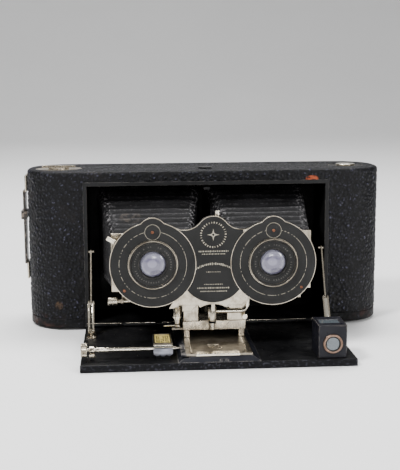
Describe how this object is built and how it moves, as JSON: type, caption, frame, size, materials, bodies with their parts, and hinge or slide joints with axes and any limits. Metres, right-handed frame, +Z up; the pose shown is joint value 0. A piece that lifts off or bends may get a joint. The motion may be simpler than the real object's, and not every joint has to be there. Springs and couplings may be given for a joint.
{
  "type": "stereo camera",
  "caption": "Horizontal folding stereo roll-film camera, bed down, with twin-lens shutter, two bellows and a reflecting finder.",
  "frame": {"origin": "mouth of the tripod socket, in the middle of the body's underside", "axes": "+X to the right seen from the front, +Y from the lenses to the back, +Z up"},
  "size_m": [0.2628, 0.1655, 0.1185],
  "materials": {
    "body_metal": "matt black japanned metal",
    "leather": "blue-black pebbled leather, worn at the edges",
    "frame_enamel": "dark grey enamel, chipped at the edge",
    "bed_enamel": "satin black enamel, rubbed",
    "nickel": "warm worn nickel plate",
    "steel": "polished steel",
    "shutter_enamel": "satin charcoal enamel",
    "strap_leather": "dark brown-black strap leather",
    "scale_celluloid": "yellowed celluloid with dark divisions",
    "finder_enamel": "satin black enamel, chipped",
    "brass": "tarnished brass",
    "glass": "clear optical glass",
    "mirror": "silvered mirror",
    "bellows_leather": "thin black leather, pleats rubbed at the corners",
    "spool_wood": "turned wood with dark metal ends",
    "ruby": "ruby window"
  },
  "bodies": {
    "camera_body": {"case": "body_metal", "leather_wrap": "leather", "opening_frame": "frame_enamel", "floor_rails": "bed_enamel", "rear_frame": "body_metal", "tripod_bush": "nickel", "spool_pivots": "nickel", "top_plates": "nickel", "strap_brackets": "nickel", "strap": "strap_leather", "bed_hinge": "nickel", "bed_plate": "bed_enamel", "bed_leather": "leather", "track_base": "bed_enamel", "focus_bearings": "nickel", "focus_scale": "scale_celluloid", "bed_struts": "nickel", "strut_fittings": "nickel", "finder_box": "finder_enamel", "finder_ring": "brass", "finder_glass": "glass", "finder_mirror": "mirror", "bellows_left": "bellows_leather", "bellows_right": "bellows_leather"},
    "focus_track": {"track_plate": "nickel"},
    "focus_drive": {"focus_rod": "nickel", "focus_knob": "nickel"},
    "standard": {"standard_foot": "nickel", "standard_uprights": "nickel"},
    "rise_screw": {"rise_screw": "nickel"},
    "clamp_lever": {"clamp_lever": "nickel"},
    "lock_knob": {"lock_knob": "nickel"},
    "shutter": {"lens_board": "nickel", "shutter_housing": "shutter_enamel", "face_plate": "nickel", "face_covers": "shutter_enamel", "lens_cells": "shutter_enamel", "lens_glasses": "glass", "air_fittings": "nickel"},
    "speed_dial_left": {"speed_dial_left": "nickel"},
    "speed_dial_right": {"speed_dial_right": "nickel"},
    "iris_left": {"iris_left": "shutter_enamel"},
    "iris_right": {"iris_right": "shutter_enamel"},
    "shutter_blade_left": {"shutter_blade_left": "shutter_enamel"},
    "shutter_blade_right": {"shutter_blade_right": "shutter_enamel"},
    "aperture_pointer": {"aperture_pointer": "nickel"},
    "release_lever": {"release_lever": "nickel"},
    "setting_lever": {"setting_lever": "nickel"},
    "winding_key": {"winding_key": "nickel"},
    "takeup_spool": {"takeup_spool": "spool_wood"},
    "supply_spool": {"supply_spool": "spool_wood"},
    "roller_left": {"roller_left": "steel"},
    "roller_right": {"roller_right": "steel"},
    "spool_knob": {"spool_knob": "nickel"},
    "bed_button": {"bed_button": "bed_enamel"},
    "back": {"back_cover": "body_metal", "back_leather": "leather", "pressure_plate": "body_metal", "red_window": "ruby", "back_latches": "nickel"}
  },
  "joints": [
    {"name": "focus_slide", "type": "slide", "parent": "camera_body", "child": "focus_track", "axis": [0, 1, 0], "range_m": [0, 0.008]},
    {"name": "focus_knob_turn", "type": "hinge", "parent": "camera_body", "child": "focus_drive", "pos_m": [-0.06, -0.1192, 0.0076], "axis": [1, 0, 0], "range_deg": [0, 236]},
    {"name": "standard_slide", "type": "slide", "parent": "focus_track", "child": "standard", "axis": [0, 1, 0], "range_m": [0, 0.066], "deforming": ["bellows_left", "bellows_right"]},
    {"name": "rise_slide", "type": "slide", "parent": "standard", "child": "shutter", "axis": [0, 0, 1], "range_m": [0, 0.008]},
    {"name": "rise_screw_turn", "type": "hinge", "parent": "standard", "child": "rise_screw", "pos_m": [-0.0244, -0.0835, 0.02], "axis": [0, 0, 1], "range_deg": [0, 1440]},
    {"name": "clamp_lever_turn", "type": "hinge", "parent": "standard", "child": "clamp_lever", "pos_m": [-0.0244, -0.0835, 0.013], "axis": [0, 0, 1], "range_deg": [0, 40]},
    {"name": "lock_knob_turn", "type": "hinge", "parent": "standard", "child": "lock_knob", "pos_m": [0.02, -0.09, 0.0202], "axis": [0, 1, 0], "continuous": true},
    {"name": "speed_dial_left_turn", "type": "hinge", "parent": "shutter", "child": "speed_dial_left", "pos_m": [-0.0408, -0.102, 0.0795], "axis": [0, 1, 0], "range_deg": [-140, 140]},
    {"name": "speed_dial_right_turn", "type": "hinge", "parent": "shutter", "child": "speed_dial_right", "pos_m": [0.0376, -0.102, 0.0795], "axis": [0, 1, 0], "range_deg": [-140, 140]},
    {"name": "aperture_pointer_turn", "type": "hinge", "parent": "shutter", "child": "aperture_pointer", "pos_m": [-0.0016, -0.0982, 0.061], "axis": [0, 1, 0], "range_deg": [-26, 26]},
    {"name": "iris_left_turn", "type": "hinge", "parent": "shutter", "child": "iris_left", "pos_m": [-0.0408, -0.0956, 0.0582], "axis": [0, 1, 0], "range_deg": [-52, 52]},
    {"name": "iris_right_turn", "type": "hinge", "parent": "shutter", "child": "iris_right", "pos_m": [0.0376, -0.0956, 0.0582], "axis": [0, 1, 0], "range_deg": [-52, 52]},
    {"name": "release_lever_turn", "type": "hinge", "parent": "shutter", "child": "release_lever", "pos_m": [-0.05552, -0.0942, 0.0667], "axis": [0, -1, 0], "range_deg": [0, 14], "stiffness_Nm_per_rad": 0.02, "springref_deg": -5.73},
    {"name": "shutter_blade_left_turn", "type": "hinge", "parent": "shutter", "child": "shutter_blade_left", "pos_m": [-0.0408, -0.0965, 0.0422], "axis": [0, -1, 0], "range_deg": [0, 56]},
    {"name": "shutter_blade_right_turn", "type": "hinge", "parent": "shutter", "child": "shutter_blade_right", "pos_m": [0.0376, -0.0965, 0.0422], "axis": [0, -1, 0], "range_deg": [0, 56]},
    {"name": "setting_lever_turn", "type": "hinge", "parent": "shutter", "child": "setting_lever", "pos_m": [-0.0016, -0.0942, 0.061], "axis": [0, 1, 0], "range_deg": [-10, 10]},
    {"name": "winding_key_turn", "type": "hinge", "parent": "camera_body", "child": "winding_key", "pos_m": [-0.106, -0.002, 0.112], "axis": [0, 0, 1], "continuous": true},
    {"name": "takeup_spool_turn", "type": "hinge", "parent": "camera_body", "child": "takeup_spool", "pos_m": [-0.106, -0.002, 0.05], "axis": [0, 0, 1], "continuous": true},
    {"name": "supply_spool_turn", "type": "hinge", "parent": "camera_body", "child": "supply_spool", "pos_m": [0.106, -0.002, 0.05], "axis": [0, 0, 1], "continuous": true},
    {"name": "roller_left_turn", "type": "hinge", "parent": "camera_body", "child": "roller_left", "pos_m": [-0.0924, 0.012, 0.05], "axis": [0, 0, 1], "continuous": true},
    {"name": "roller_right_turn", "type": "hinge", "parent": "camera_body", "child": "roller_right", "pos_m": [0.0924, 0.012, 0.05], "axis": [0, 0, 1], "continuous": true},
    {"name": "spool_knob_pull", "type": "slide", "parent": "camera_body", "child": "spool_knob", "axis": [0, 0, 1], "range_m": [0, 0.008]},
    {"name": "bed_button_press", "type": "slide", "parent": "camera_body", "child": "bed_button", "axis": [0, 0, -1], "range_m": [0, 0.0014], "stiffness_N_per_m": 400, "springref_m": -0.002},
    {"name": "back_removal", "type": "slide", "parent": "camera_body", "child": "back", "axis": [0, 1, 0], "range_m": [0, 0.04]}
  ],
  "couplings": [
    {"joint": "focus_knob_turn", "follows": "focus_slide", "rad_per_m": 512.82},
    {"joint": "rise_screw_turn", "follows": "rise_slide", "rad_per_m": 3141.6},
    {"joint": "speed_dial_right_turn", "follows": "speed_dial_left_turn", "ratio": 1},
    {"joint": "iris_left_turn", "follows": "aperture_pointer_turn", "ratio": 2},
    {"joint": "iris_right_turn", "follows": "aperture_pointer_turn", "ratio": 2},
    {"joint": "shutter_blade_left_turn", "follows": "release_lever_turn", "ratio": 4},
    {"joint": "shutter_blade_right_turn", "follows": "release_lever_turn", "ratio": 4},
    {"joint": "takeup_spool_turn", "follows": "winding_key_turn", "ratio": 1},
    {"joint": "supply_spool_turn", "follows": "winding_key_turn", "ratio": 1},
    {"joint": "roller_left_turn", "follows": "winding_key_turn", "ratio": -2},
    {"joint": "roller_right_turn", "follows": "winding_key_turn", "ratio": -2}
  ]
}
